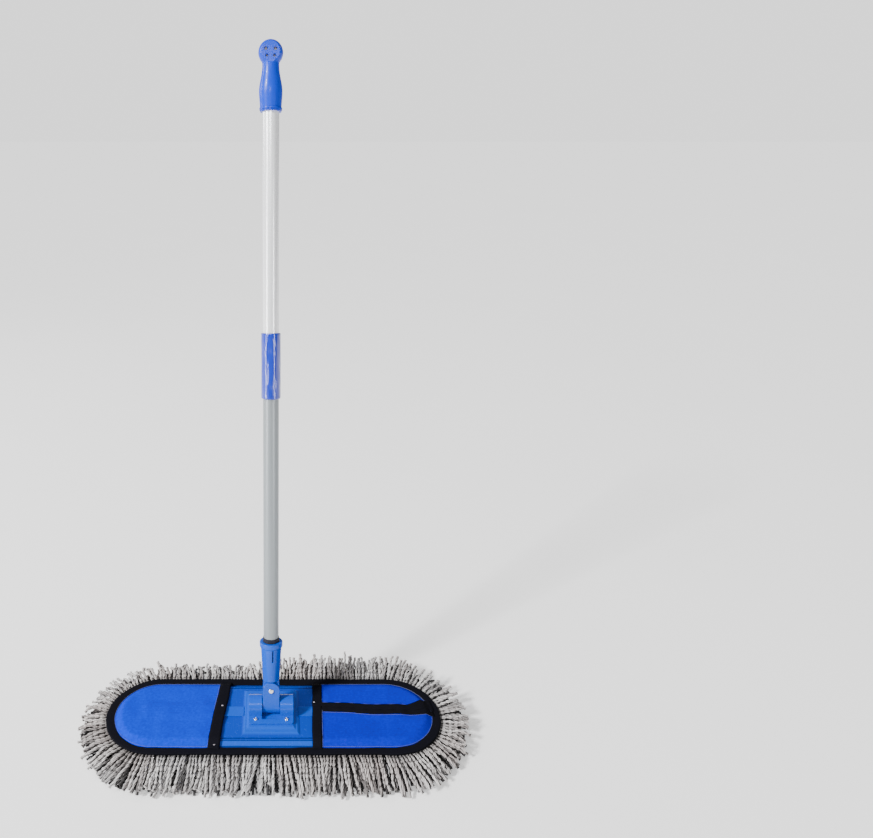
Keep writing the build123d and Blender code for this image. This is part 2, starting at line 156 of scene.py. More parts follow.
class HardwareSettings(bpy.types.PropertyGroup):
    # plastic is the lit colour: it covers bracket, yoke and socket and is painted on the plate's raised steps
    # and skirt as a highlight; flat is a darker copy painted on the plate's flats as shade.
    plastic: FloatVectorProperty(
        name="Moulded plastic", description="Colour of bracket, yoke, socket and the plate's raised steps",
        default=(0, 0.070, 0.52), subtype="COLOR",
    )
    flat: FloatVectorProperty(
        name="Plate flats", description="Colour of the flat parts of the plate",
        default=(0, 0.040, 0.40), subtype="COLOR",
    )
    grip: FloatVectorProperty(
        name="Grip", description="Colour of the hand grip", default=(0.0, 0.036, 0.52), subtype="COLOR"
    )
    sleeve: FloatVectorProperty(
        name="Sleeve", description="Colour of the sleeve over the joint",
        default=(0.001, 0.022, 0.42), subtype="COLOR",
    )


class StageSettings(bpy.types.PropertyGroup):
    floor_size: FloatProperty(
        name="Floor size", description="Side of the floor", default=60.0, unit="LENGTH"
    )
    eye_height: FloatProperty(name="Eye height", description="Camera height", default=0.98, unit="LENGTH")
    eye_distance: FloatProperty(
        name="Eye distance", description="Camera distance", default=1.011, unit="LENGTH"
    )
    pitch: FloatProperty(
        name="Pitch", description="How far the camera looks down",
        default=math.radians(21.9), subtype="ANGLE",
    )
    lens: FloatProperty(name="Lens", description="Focal length in millimetres", default=31.26)
    shift: FloatProperty(name="Shift", description="Sideways shift of the lens", default=0.1867)


# ---- Objects ----


def placed(name, data):
    """A new object in the scene, at the origin."""
    made = bpy.data.objects.new(name, data)
    bpy.context.scene.collection.objects.link(made)
    return made


def mesh_object(name, points, faces):
    mesh = bpy.data.meshes.new(name)
    mesh.from_pydata(points, [], faces)
    return placed(name, mesh)


def curve_object(name, splines, cyclic=False):
    """Poly splines, each a list of (point, radius)."""
    data = bpy.data.curves.new(name, "CURVE")
    data.dimensions = "3D"
    for points in splines:
        spline = data.splines.new("POLY")
        spline.points.add(len(points) - 1)
        spline.use_cyclic_u = cyclic
        for target, (place, radius) in zip(spline.points, points):
            target.co = (*place, 1)
            target.radius = radius
    return placed(name, data)


def grid_object(name, rows):
    """A smooth sheet from rows of points, with its faces turned up."""
    width = len(rows[0])
    points = [p for row in rows for p in row]
    corners = [i * width + j for i in range(len(rows) - 1) for j in range(width - 1)]
    made = mesh_object(name, points, [(a, a + 1, a + width + 1, a + width) for a in corners])
    if made.data.polygons[len(corners) // 2].normal.z < 0:
        made.data.flip_normals()
    for polygon in made.data.polygons:
        polygon.use_smooth = True
    return made


def ring_solid(name, rings):
    """A solid from rings of points, top first, closed above and below; one ring gives a flat face."""
    count = len(rings[0])
    faces = [tuple(range(count))]
    for top in range(0, (len(rings) - 1) * count, count):
        for i in range(count):
            j = (i + 1) % count
            faces.append((top + j, top + i, top + count + i, top + count + j))
    if len(rings) > 1:
        faces.append(tuple(reversed(range((len(rings) - 1) * count, len(rings) * count))))
    return mesh_object(name, [p for ring in rings for p in ring], faces)


def thicken(piece, thickness):
    modifier = piece.modifiers.new("Thickness", "SOLIDIFY")
    modifier.thickness = thickness
    modifier.offset = 0
    return piece


def on_head(piece, slot, *stands_for):
    """Puts a piece on the head and hides the nodes that it stands for; slot is not used."""
    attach(piece, "head")
    if stands_for:
        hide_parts(*stands_for)
    return piece


def spread(first, last, steps):
    """Evenly spaced numbers from first to last, both included."""
    return [first + (last - first) * i / steps for i in range(steps + 1)]


def smooth(value):
    """An even step from 0 to 1."""
    value = min(1.0, max(0.0, value))
    return value * value * (3 - 2 * value)


# ---- Node helpers ----

SOCKETS = {float: "NodeSocketFloat", int: "NodeSocketInt"}


def plug(tree, value, socket):
    """Gives an input its value: another node's socket, a number, a name, a vector or a colour."""
    if isinstance(value, bpy.types.NodeSocket):
        tree.links.new(value, socket)
    elif isinstance(value, tuple) and socket.type == "RGBA":
        socket.default_value = (*value, 1)
    else:
        socket.default_value = value


def add_node(tree, kind, inputs=None, **settings):
    """A new node with its settings, then its inputs by name or number."""
    node = tree.nodes.new(kind)
    for name, value in settings.items():
        setattr(node, name, value)
    for name, value in (inputs or {}).items():
        plug(tree, value, node.inputs[name])
    return node


def node_group(name, kind, inputs, outputs):
    """A node group, the sockets that it is given and those that it puts out."""
    group = bpy.data.node_groups.new(name, kind)
    for label, default in inputs.items():
        socket_type = SOCKETS.get(type(default), default)
        socket = group.interface.new_socket(label, in_out="INPUT", socket_type=socket_type)
        if not isinstance(default, str):
            socket.default_value = default
    for label, socket_type in outputs.items():
        group.interface.new_socket(label, in_out="OUTPUT", socket_type=socket_type)
    return group, group.nodes.new("NodeGroupInput").outputs, group.nodes.new("NodeGroupOutput").inputs


def geometry_group(name, sizes):
    """A geometry group with a geometry socket at each end, named sizes and a material."""
    inputs = {"Geometry": "NodeSocketGeometry", **sizes, "Material": "NodeSocketMaterial"}
    return node_group(name, "GeometryNodeTree", inputs, {"Geometry": "NodeSocketGeometry"})


def finish_geometry(group, given, out, geometry):
    """Ends a geometry group in Realize Instances and Set Material."""
    real = add_node(group, "GeometryNodeRealizeInstances", {"Geometry": geometry}).outputs[0]
    paint = add_node(group, "GeometryNodeSetMaterial", {"Geometry": real, "Material": given["Material"]})
    plug(group, paint.outputs[0], out["Geometry"])
    return group


def store(group, geometry, name, value, domain="POINT"):
    """Keeps a float as a named attribute, for a material to read."""
    inputs = {"Name": name, "Geometry": geometry, "Value": value}
    settings = {"data_type": "FLOAT", "domain": domain}
    return add_node(group, "GeometryNodeStoreNamedAttribute", inputs, **settings).outputs[0]


def baked(source, group, name, material_name, values):
    """Runs a geometry group on an object and returns the result as a plain mesh object."""
    values = {**values, "Material": finish(material_name)}
    modifier = source.modifiers.new(group.name, "NODES")
    modifier.node_group = group
    for item in group.interface.items_tree:
        if item.in_out == "INPUT" and item.name in values:
            modifier[item.identifier] = values[item.name]
    graph = bpy.context.evaluated_depsgraph_get()
    graph.update()
    mesh = bpy.data.meshes.new_from_object(source.evaluated_get(graph), depsgraph=graph)
    mesh.name = name
    bpy.data.objects.remove(source)
    return placed(name, mesh)


def math_node(tree, operation, first, second=0.5):
    return add_node(tree, "ShaderNodeMath", {0: first, 1: second}, operation=operation).outputs[0]


def mix_colour(tree, factor, first, second):
    return add_node(tree, "ShaderNodeMix", {0: factor, 6: first, 7: second}, data_type="RGBA").outputs[2]


def noise_node(tree, vector, scale, detail=2.0, roughness=0.5):
    inputs = {"Vector": vector, "Scale": scale, "Detail": detail, "Roughness": roughness}
    return add_node(tree, "ShaderNodeTexNoise", inputs).outputs["Fac"]


def stretched(tree, vector, scale):
    return add_node(tree, "ShaderNodeVectorMath", {0: vector, 1: scale}, operation="MULTIPLY").outputs[0]


def between(tree, value, low, high, to_low=0.0, to_high=1.0):
    """Maps a range of values to another, and holds them at its ends."""
    inputs = {0: value, 1: low, 2: high, 3: to_low, 4: to_high}
    return add_node(tree, "ShaderNodeMapRange", inputs).outputs[0]


def coordinates(tree):
    return add_node(tree, "ShaderNodeTexCoord").outputs["Object"]


def shader_group(name, inputs, *outputs):
    return node_group(name, "ShaderNodeTree", inputs, {label: "NodeSocketFloat" for label in outputs})


# ---- Shared effects ----


def weave_group():
    """Plain weave with slubs: a shade from 0 to 1 and a height."""
    group, given, out = shader_group("Plain weave", {"Threads per metre": 900.0}, "Shade", "Height")
    place = coordinates(group)
    split = add_node(group, "ShaderNodeSeparateXYZ", {0: place}).outputs
    turn = math_node(group, "MULTIPLY", given["Threads per metre"], 2 * math.pi)
    warp = math_node(group, "SINE", math_node(group, "MULTIPLY", split["X"], turn))
    weft = math_node(group, "SINE", math_node(group, "MULTIPLY", split["Y"], turn))
    height = math_node(group, "MULTIPLY", warp, weft)
    thread = between(group, height, -1, 1, 0.25, 0.75)
    slubs = noise_node(group, stretched(group, place, (60, 900, 60)), 1.0, 3.0)
    blotch = between(group, noise_node(group, place, 230.0, 5.0, 0.7), 0.3, 0.7)
    shade = math_node(group, "MULTIPLY", thread, 0.45)
    for part, share in ((slubs, 0.3), (blotch, 0.35)):
        shade = math_node(group, "ADD", shade, math_node(group, "MULTIPLY", part, share))
    plug(group, shade, out["Shade"])
    plug(group, height, out["Height"])
    return group


def wear_group():
    """Light wear on a hard surface: scratches and dust from 0 to 1, and a slow wave."""
    group, given, out = shader_group("Light wear", {"Amount": 0.5}, "Wear", "Wave")
    place = coordinates(group)
    scratch = between(group, noise_node(group, stretched(group, place, (900, 40, 300)), 1.0), 0.62, 0.72)
    dust = between(group, noise_node(group, place, 140.0, 5.0, 0.7), 0.55, 0.75)
    both = math_node(group, "MAXIMUM", math_node(group, "MULTIPLY", scratch, 0.6), dust)
    plug(group, math_node(group, "MULTIPLY", both, given["Amount"]), out["Wear"])
    plug(group, noise_node(group, place, 35.0, 1.0), out["Wave"])
    return group


def yarn_group():
    """Twisted plies: how far a point stands out, its strand's own tone, and how open to the light it is,
    which the yarn finish turns into painted shade at the roots and on the lower layers.
    """
    group, given, out = shader_group("Twisted yarn", {"Shaded root": 0.022}, "Twist", "Strand", "Out")

    def attribute(name):
        return add_node(group, "ShaderNodeAttribute", attribute_name=name).outputs["Fac"]

    fuzz = between(group, noise_node(group, coordinates(group), 1500.0), 0.3, 0.7, 0.72, 1.0)
    ridge = between(group, attribute("yarn_ridge"), 0.12, 0.70)
    # Roots under the tape get painted shade over the first Shaded root of their length.
    root = math_node(group, "DIVIDE", attribute("yarn_along"), given["Shaded root"])
    # Lower layers get painted shade, full below the upper strands.
    layer_lit = between(group, attribute("yarn_depth"), 0.16, 0.46, 1.0, 0.0)
    plug(group, math_node(group, "MULTIPLY", ridge, fuzz), out["Twist"])
    plug(group, attribute("yarn_seed"), out["Strand"])
    plug(group, math_node(group, "MULTIPLY", math_node(group, "MINIMUM", root, 1.0), layer_lit), out["Out"])
    return group


# ---- Materials ----


def finish(name):
    """The finished material that belongs to one of the record's slots, a cloth or a thread."""
    return bpy.data.materials[name + "_finish"]


def material(name, roughness, metallic=0.0, coat=0.0, specular=0.2):
    """A new material's node tree and its Principled shader."""
    made = bpy.data.materials.new(name + "_finish")
    made.use_nodes = True
    surface = made.node_tree.nodes["Principled BSDF"]
    surface.inputs["Roughness"].default_value = roughness
    surface.inputs["Metallic"].default_value = metallic
    surface.inputs["Coat Weight"].default_value = coat
    surface.inputs["Specular IOR Level"].default_value = specular
    return made.node_tree, surface


def effect(tree, group, **amounts):
    """A shared effect placed in a material."""
    return add_node(tree, "ShaderNodeGroup", amounts, node_tree=group).outputs


def tint(tree, surface, factor, first, second):
    """Colours a surface between two colours by a factor."""
    plug(tree, mix_colour(tree, factor, first, second), surface.inputs["Base Color"])


def bump(tree, surface, height, distance, strength, **normal):
    inputs = {"Strength": strength, "Distance": distance, "Height": height, **normal}
    plug(tree, add_node(tree, "ShaderNodeBump", inputs).outputs[0], surface.inputs["Normal"])


def scaled(colour, share, extra=(0, 0, 0)):
    return tuple(min(1.0, share * c + more) for c, more in zip(colour, extra))


def cloth_material(name, colour, weave, threads=900.0, contrast=0.6):
    tree, surface = material(name, 0.85, specular=0.05)
    cloth = effect(tree, weave, **{"Threads per metre": threads})
    tint(tree, surface, cloth["Shade"], scaled(colour, 1 - contrast), scaled(colour, 1 + contrast))
    bump(tree, surface, cloth["Height"], 0.0003, 0.5)


def painted_relief_shade(tree, flat, raised):
    """The plate's colour by height: painted highlight on its raised steps and skirt, painted shade on its
    flats and deeper painted shade down in its grooves.
    """
    height = add_node(tree, "ShaderNodeSeparateXYZ", {0: coordinates(tree)}).outputs["Z"]
    above_groove = between(tree, height, PLATE_FLAT - 0.0009, PLATE_FLAT - 0.0003)
    above_flat = between(tree, height, PLATE_FLAT + 0.0003, PLATE_FLAT + 0.0020)
    skirt = between(tree, height, PLATE_FLAT - 0.0018, PLATE_FLAT - 0.0012, 1.0, 0.0)
    # Raised steps and the skirt below the flats get the paler colour as a painted highlight.
    wear_and_painted_light = math_node(tree, "MAXIMUM", above_flat, skirt)
    # The flats keep the darker colour and the grooves 0.3 of it, as painted shade.
    return mix_colour(tree, wear_and_painted_light, mix_colour(tree, above_groove, scaled(flat, 0.3), flat), raised)


def plastic_material(name, colour, wear, roughness=0.24, wave=0.0006, coat=0.12, raised=None):
    """Glossy moulded plastic with soft edges, faint sink marks and a little dust; given a raised colour, it
    also paints light and shade on the plate by height.
    """
    tree, surface = material(name, roughness, coat=coat)
    wear_and_painted_light = effect(tree, wear, Amount=0.4)
    # Given a raised colour, the body gets painted highlight and painted shade by height.
    body = painted_relief_shade(tree, colour, raised) if raised else colour
    tint(tree, surface, wear_and_painted_light["Wear"], body, scaled(colour, 1.2, DUST))
    plug(tree, between(tree, wear_and_painted_light["Wear"], 0, 1, roughness, roughness + 0.3), surface.inputs["Roughness"])
    edge = add_node(tree, "ShaderNodeBevel", {"Radius": 0.0014}, samples=4).outputs[0]
    bump(tree, surface, wear_and_painted_light["Wave"], wave, 0.35, Normal=edge)


def metal_material(name, colour, wear, roughness, metallic):
    """Satin metal with drawing lines along the tube and a few dull patches."""
    tree, surface = material(name, roughness, metallic, specular=0.5)
    lines = noise_node(tree, stretched(tree, coordinates(tree), (2600, 2600, 14)), 1.0)
    wear_and_painted_light = effect(tree, wear, Amount=0.5)
    shade = math_node(tree, "MAXIMUM", math_node(tree, "MULTIPLY", lines, 0.5), wear_and_painted_light["Wear"])
    tint(tree, surface, shade, colour, scaled(colour, 0.82))
    satin = between(tree, lines, 0.2, 0.8, roughness - 0.06, roughness + 0.1)
    plug(tree, satin, surface.inputs["Roughness"])
    bump(tree, surface, lines, 0.00002, 0.3)


def sleeve_material(colour, wear):
    """A shrunk glossy sleeve whose surface waves along its length."""
    tree, surface = material("sleeve_blue", 0.09, coat=1.0, specular=0.6)
    waves = noise_node(tree, stretched(tree, coordinates(tree), (90, 90, 22)), 1.0, 1.5)
    tint(tree, surface, effect(tree, wear, Amount=0.25)["Wear"], colour, scaled(colour, 1.2, DUST))
    bump(tree, surface, waves, 0.004, 1.0)


def rubber_material(colour, wear):
    tree, surface = material("collar_black", 0.6)
    wear_and_painted_light = effect(tree, wear)
    tint(tree, surface, wear_and_painted_light["Wear"], colour, (0.05, 0.05, 0.06))
    bump(tree, surface, wear_and_painted_light["Wave"], 0.0004, 0.4)


def tape_material(colour):
    """Ribbed woven tape with lint."""
    tree, surface = material("black_tape", 0.9, specular=0.08)
    place = coordinates(tree)
    ribs = noise_node(tree, stretched(tree, place, (900, 900, 900)), 1.0)
    lint = between(tree, noise_node(tree, place, 420.0, 4.0, 0.7), 0.62, 0.8)
    tint(tree, surface, math_node(tree, "MULTIPLY", lint, 0.35), colour, (0.05, 0.05, 0.09))
    bump(tree, surface, ribs, 0.0004, 0.6)


def yarn_material(light, dark, yarn):
    """Cotton yarn in mixed greys, browner in patches, with painted shade in its twist, at its roots and on
    its lower layers.
    """
    tree, surface = material("grey_yarn", 0.95, specular=0.1)
    plies = effect(tree, yarn)
    strand = mix_colour(tree, plies["Strand"], dark, light)
    patch = between(tree, noise_node(tree, coordinates(tree), 9.0), 0.4, 0.65)
    strand = mix_colour(tree, math_node(tree, "MULTIPLY", patch, 0.35), strand, (0.42, 0.31, 0.27))
    # Painted shade in the twist's valleys: the strand colour darkened towards black.
    strand = mix_colour(tree, plies["Twist"], mix_colour(tree, 0.62, strand, TWIST_SHADE_BLACK), strand)
    # Painted shade at the roots and on the lower layers, nearly black.
    tint(tree, surface, plies["Out"], mix_colour(tree, 0.90, strand, (0.01, 0.01, 0.012)), strand)
    bump(tree, surface, plies["Twist"], 0.0008, 0.8)


def thread_material(name, colour):
    tree, surface = material(name, 0.8)
    fuzz = noise_node(tree, coordinates(tree), 1800.0)
    tint(tree, surface, fuzz, scaled(colour, 0.6), colour)
    bump(tree, surface, fuzz, 0.0002, 0.5)


# ---- Pad outline and cloth surface ----


def edge_point(distance):
    """The pad's edge at a distance along it from the middle of the front: place and way out."""
    distance %= 2 * (STRAIGHT + ARC)
    if distance < STRAIGHT / 2:
        return Vector((distance, -PAD_RADIUS)), Vector((0, -1))
    distance -= STRAIGHT / 2
    if distance < ARC:
        turn = distance / PAD_RADIUS - math.pi / 2
        out = Vector((math.cos(turn), math.sin(turn)))
        return Vector((END_CENTRE, 0)) + out * PAD_RADIUS, out
    distance -= ARC
    if distance < STRAIGHT:
        return Vector((END_CENTRE - distance, PAD_RADIUS)), Vector((0, 1))
    distance -= STRAIGHT
    if distance < ARC:
        turn = distance / PAD_RADIUS + math.pi / 2
        out = Vector((math.cos(turn), math.sin(turn)))
        return Vector((-END_CENTRE, 0)) + out * PAD_RADIUS, out
    return Vector((distance - ARC - END_CENTRE, -PAD_RADIUS)), Vector((0, -1))


def edge_points(count):
    """Even steps round the pad's edge."""
    return [edge_point(2 * (STRAIGHT + ARC) * i / count) for i in range(count)]


def outline_ring(inset, height):
    """Points round the pad's outline, moved in by an inset."""
    return [(*(place - out * inset), height) for place, out in edge_points(72)]


def inset_at(x, y):
    """How far inside the pad's edge a point is."""
    return PAD_RADIUS - math.hypot(max(0.0, abs(x) - END_CENTRE), y)


def end_reach(y, inset):
    """Where a line along X at y meets the pad's end, moved in by an inset."""
    radius = PAD_RADIUS - inset
    return END_CENTRE + math.sqrt(max(0.0, radius * radius - y * y))


def panel_z(x, y):
    """The upper side of the pocket cloth: flat under the tape, raised over the plate and its spine."""
    rise = (PANEL_TOP - BACKING_TOP - 0.0022) * smooth((inset_at(x, y) - 0.0115) / 0.0145)
    spine = 0.0023 * smooth((0.024 - abs(y)) / 0.014) * smooth((0.232 - abs(x)) / 0.02)
    return BACKING_TOP + 0.0006 + rise + spine


def on_cloth(x, y, lift):
    """A curve point on the cloth."""
    return Vector((x, y, panel_z(x, y) + lift)), 1


def slanted(mouth, y):
    """The middle of a mouth's tape, which slants from its front end to its rear end."""
    half = bpy.context.scene.mop_cloth.mouth_tape / 2
    front, rear = mouth[0] + half, mouth[1] - half
    return front + (rear - front) * (y / PAD_WIDTH + 0.5)


def plain_mouth_x(y):
    return slanted(PLAIN_MOUTH, y)


def split_mouth_x(y):
    return slanted(SPLIT_MOUTH, y) + SPLIT_MOUTH_SHIFT


def slit_line(x):
    """The slit's wavy course from the mouth to the end."""
    start, end = split_mouth_x(SLIT_Y), end_reach(SLIT_Y, TAPE_WIDTH)
    share = (x - start) / (end - start)
    return SLIT_Y + 0.0035 * math.cos(share * 5.2) - 0.0006 * math.sin(share * 17) - 0.001


# ---- Yarn ----


def strand_tree():
    """Three twisted plies swept along each path: every other corner of the section stands out."""
    group, given, out = geometry_group("Yarn strands", {"Twist per metre": 215.0, "Valley": 0.68, "Seed": 1})
    index = add_node(group, "GeometryNodeInputIndex").outputs[0]
    along = add_node(group, "GeometryNodeSplineParameter").outputs["Length"]
    shade = add_node(group, "FunctionNodeRandomValue", {"Seed": given["Seed"]}).outputs[1]
    count = add_node(group, "GeometryNodeAttributeDomainSize", {0: given["Geometry"]}, component="CURVE")
    depth = math_node(group, "DIVIDE", index, count.outputs["Spline Count"])
    strands = store(group, given["Geometry"], "yarn_along", along)
    strands = store(group, strands, "yarn_seed", shade, "CURVE")
    strands = store(group, strands, "yarn_depth", depth, "CURVE")
    turns = math_node(group, "MULTIPLY", along, given["Twist per metre"])
    wound = add_node(group, "GeometryNodeSetCurveTilt", {"Curve": strands, "Tilt": turns}).outputs[0]

    ridge = math_node(group, "MODULO", index, 2)
    ring = add_node(group, "GeometryNodeCurvePrimitiveCircle", {"Radius": 1.0, "Resolution": 6})
    section = store(group, ring.outputs["Curve"], "yarn_ridge", ridge)
    rise = math_node(group, "MULTIPLY", ridge, math_node(group, "SUBTRACT", 1.0, given["Valley"]))
    scale = math_node(group, "ADD", given["Valley"], rise)
    place = add_node(group, "GeometryNodeInputPosition").outputs[0]
    lobe = add_node(group, "ShaderNodeVectorMath", {0: place, "Scale": scale}, operation="SCALE").outputs[0]
    lobes = add_node(group, "GeometryNodeSetPosition", {"Geometry": section, "Position": lobe}).outputs[0]

    radius = add_node(group, "GeometryNodeInputRadius").outputs[0]
    inputs = {"Curve": wound, "Profile Curve": lobes, "Scale": radius, "Fill Caps": True}
    swept = add_node(group, "GeometryNodeCurveToMesh", inputs).outputs["Mesh"]
    return finish_geometry(group, given, out, swept)


def strand_points(distance, layer, settings, chance):
    """One strand from under the tape to its cut tip, as (point, radius) pairs."""
    place, out = edge_point(distance)
    side = Vector((-out.y, out.x))
    rearness = (1 + out.y) / 2
    depth = layer / max(1, settings.layers - 1)
    # The rear fringe is shorter and lower on the left of the pole.
    shortened = 0.30 * rearness * smooth((0.05 - place.x) / 0.09) + 0.08 * rearness
    straight = FRONT_REACH + (REAR_REACH - FRONT_REACH) * rearness
    reach = straight + (END_REACH - straight) * abs(out.x)
    reach *= (1.0 - 0.20 * depth) * chance.uniform(0.82, 1.05) * (1 - 0.5 * shortened)
    front_tip = 0.0105 - 0.0075 * depth
    rear_tip = (REAR_TIP - 0.002) * (1 - shortened) - 0.036 * depth
    tip = front_tip + (rear_tip - front_tip) * rearness + chance.uniform(-0.004, 0.004)
    bend = 0.027 + 0.008 * rearness - 0.019 * depth
    # Neighbours lean together in clumps, and the front and rear fan out towards the ends.
    clump = noise.noise(Vector((distance * 17, layer * 3.1, 0)))
    fine = noise.noise(Vector((distance * 60, layer * 7.7, 5)))
    lean = settings.sway * (1.5 * clump + 0.8 * fine) + chance.uniform(-0.004, 0.004)
    lean += 0.010 * place.x / END_CENTRE * -out.y * (1 - abs(out.x))
    start = Vector((*(place - out * ROOT_TUCK), YARN_TOP - ROOT_DROP - LAYER_DROP * depth))
    middle = Vector((*(place + out * reach * BEND_SHARE + side * lean * 0.25), bend))
    end = Vector((*(place + out * reach + side * lean), tip))
    radius = settings.strand_radius * chance.uniform(0.85, 1.12)
    curl_place = Vector((chance.uniform(0, 90), chance.uniform(0, 90), 0))
    hook = Vector((chance.uniform(-1, 1), chance.uniform(-1, 1), chance.uniform(-1, 0.4))) * HOOK
    points = []
    for t in spread(0, 1, STRAND_STEPS - 1):
        at = start * (1 - t) ** 2 + middle * 2 * t * (1 - t) + end * t * t
        at += noise.noise_vector(curl_place + Vector((0, 0, 2.6 * t))) * CURL * smooth(2 * t)
        at += hook * smooth((t - 0.7) / 0.3) ** 2
        at.z = max(at.z, radius + 0.0002)
        points.append((at, radius * (1.0 + 0.1 * (t > 0.95) - 0.05 * t)))
    return points


class MOP_OT_fringe(bpy.types.Operator):
    """Makes the cut yarn fringe, one piece for each side and end of the pad"""

    bl_idname = "mop.fringe"
    bl_label = "Yarn fringe"

    def execute(self, context):
        settings = context.scene.mop_yarn
        # noise_vector starts from the clock unless it is given a seed above zero.
        noise.seed_set(settings.seed + 1)
        tree = strand_tree()
        runs = (
            ("fringe_front", -STRAIGHT / 2, STRAIGHT / 2),
            ("fringe_right", STRAIGHT / 2, STRAIGHT / 2 + ARC),
            ("fringe_rear", STRAIGHT / 2 + ARC, 1.5 * STRAIGHT + ARC),
            ("fringe_left", 1.5 * STRAIGHT + ARC, 1.5 * STRAIGHT + 2 * ARC),
        )
        for number, (node, first, last) in enumerate(runs):
            chance = random.Random(settings.seed + number)
            strands = []
            for layer in range(settings.layers):
                at = first + settings.strand_spacing * (layer % 2) / 2
                while at < last:
                    jitter = chance.uniform(-0.3, 0.3) * settings.strand_spacing
                    strands.append(strand_points(at + jitter, layer, settings, chance))
                    at += settings.strand_spacing
            paths = curve_object(node + "_paths", strands)
            on_head(baked(paths, tree, node + "_strands", "grey_yarn", {"Seed": number}), "grey_yarn", node)
        return {"FINISHED"}


def loop_tree():
    """Short bent loops of yarn scattered over a face."""
    group, given, out = geometry_group("Yarn loops", {"Density": 9000.0, "Seed": 3, "Loop radius": 0.0024})
    seed = given["Seed"]
    inputs = {"Mesh": given["Geometry"], "Density": given["Density"], "Seed": seed}
    points = add_node(group, "GeometryNodeDistributePointsOnFaces", inputs).outputs["Points"]
    ends = {"Start": (-0.013, 0, 0.006), "End": (0.013, 0, 0.006)}
    inputs = {"Resolution": 5, "Middle": (0, 0, -0.0045), **ends}
    bend = add_node(group, "GeometryNodeCurveQuadraticBezier", inputs).outputs["Curve"]
    along = add_node(group, "GeometryNodeSplineParameter").outputs["Length"]
    index = add_node(group, "GeometryNodeInputIndex").outputs[0]
    inputs = {"Resolution": 5, "Radius": given["Loop radius"]}
    ring = add_node(group, "GeometryNodeCurvePrimitiveCircle", inputs)
    section = store(group, ring.outputs["Curve"], "yarn_ridge", math_node(group, "MODULO", index, 2))
    inputs = {"Curve": store(group, bend, "yarn_along", along), "Profile Curve": section}
    loop = add_node(group, "GeometryNodeCurveToMesh", inputs).outputs["Mesh"]
    inputs = {0: (-0.15, -0.15, 0), 1: (0.15, 0.15, 2 * math.pi), "Seed": seed}
    turn = add_node(group, "FunctionNodeRandomValue", inputs, data_type="FLOAT_VECTOR").outputs["Value"]
    inputs = {"Points": points, "Instance": loop, "Rotation": turn}
    loops = add_node(group, "GeometryNodeInstanceOnPoints", inputs).outputs["Instances"]
    shade = add_node(group, "FunctionNodeRandomValue").outputs[1]
    return finish_geometry(group, given, out, store(group, loops, "yarn_seed", shade, "INSTANCE"))


class MOP_OT_underside(bpy.types.Operator):
    """Makes the soft yarn body under the pad and the loops that touch the floor"""

    bl_idname = "mop.underside"
    bl_label = "Yarn underside"

    def execute(self, context):
        body = ((0.016, YARN_TOP), (0.0115, 0.023), (0.0105, 0.015), (0.0125, 0.009), (0.020, 0.0055))
        core = ring_solid("yarn_core", [outline_ring(inset, height) for inset, height in body])
        # The core has no yarn attributes, so the yarn finish paints it in its full, nearly black root shade:
        # painted shade on the underside.
        core.data.materials.append(finish("grey_yarn"))
        on_head(core, "grey_yarn", "yarn_underside")
        ground = ring_solid("loop_ground", [outline_ring(0.022, 0.0068)])
        # The loops get the same painted root shade along most of their length.
        loops = baked(ground, loop_tree(), "yarn_loops", "grey_yarn", {"Density": 22000.0, "Seed": 5})
        on_head(loops, "grey_yarn")
        return {"FINISHED"}


# ---- Cloth and tape ----


def ripple_tree():
    """Soft waves in a sheet, strongest away from its sewn edge."""
    group, given, out = geometry_group("Cloth ripple", {"Height": 0.001, "Wave scale": 16.0, "Seed": 0.0})
    inputs = {"Detail": 1.5, "Scale": given["Wave scale"], "W": given["Seed"]}
    wave = add_node(group, "ShaderNodeTexNoise", inputs, noise_dimensions="4D").outputs["Fac"]
    free = add_node(group, "GeometryNodeInputNamedAttribute", {"Name": "free"}, data_type="FLOAT")
    lift = math_node(group, "MULTIPLY", between(group, wave, 0.42, 0.75), given["Height"])
    lift = math_node(group, "MULTIPLY", lift, free.outputs["Attribute"])
    offset = add_node(group, "ShaderNodeCombineXYZ", {"Z": lift}).outputs[0]
    moved = add_node(group, "GeometryNodeSetPosition", {"Geometry": given["Geometry"], "Offset": offset})
    return finish_geometry(group, given, out, moved.outputs["Geometry"])


def cloth_panel(name, left, right, low, high, mouth, slit=None, rows=44):
    """A sheet between two edges along X, from one course in Y to another, laid over the plate."""
    columns = 64
    grid = []
    for i in range(rows + 1):
        share = math.sin(math.pi / 2 * (2 * i / rows - 1)) / 2 + 0.5
        row = []
        for j in range(columns + 1):
            y = 0.0
            # The edges curve, so x and y settle together.
            for _ in range(4):
                x = left(y) + (right(y) - left(y)) * j / columns
                y = low(x) + (high(x) - low(x)) * share
            row.append((x, y, panel_z(x, y)))
        grid.append(row)
    piece = grid_object(name, grid)
    free = piece.data.attributes.new("free", "FLOAT", "POINT")
    for index, vertex in enumerate(piece.data.vertices):
        x, y = vertex.co.x, vertex.co.y
        seams = [inset_at(x, y) - 0.013, abs(x - mouth(y)) - 0.008]
        if slit:
            seams.append(abs(y - slit(x)) - 0.011)
        free.data[index].value = smooth(min(seams) / 0.016)
    return piece


def finish_cloth(piece, name, canvas, node, seed):
    """Adds ripple and thickness, and returns the sheet with its flat size and area."""
    cloth = bpy.context.scene.mop_cloth
    values = {"Height": cloth.ripple, "Seed": seed, "Wave scale": 17.0}
    made = baked(piece, ripple_tree(), name, canvas, values)
    xs, ys = ([vertex.co[axis] for vertex in made.data.vertices] for axis in (0, 1))
    flat = (max(ys) - min(ys) + 2 * HEM, max(xs) - min(xs) + 2 * HEM)
    thicken(made, cloth.thickness)
    on_head(made, "pocket_canvas", node)
    return made, flat, sum(polygon.area for polygon in made.data.polygons)


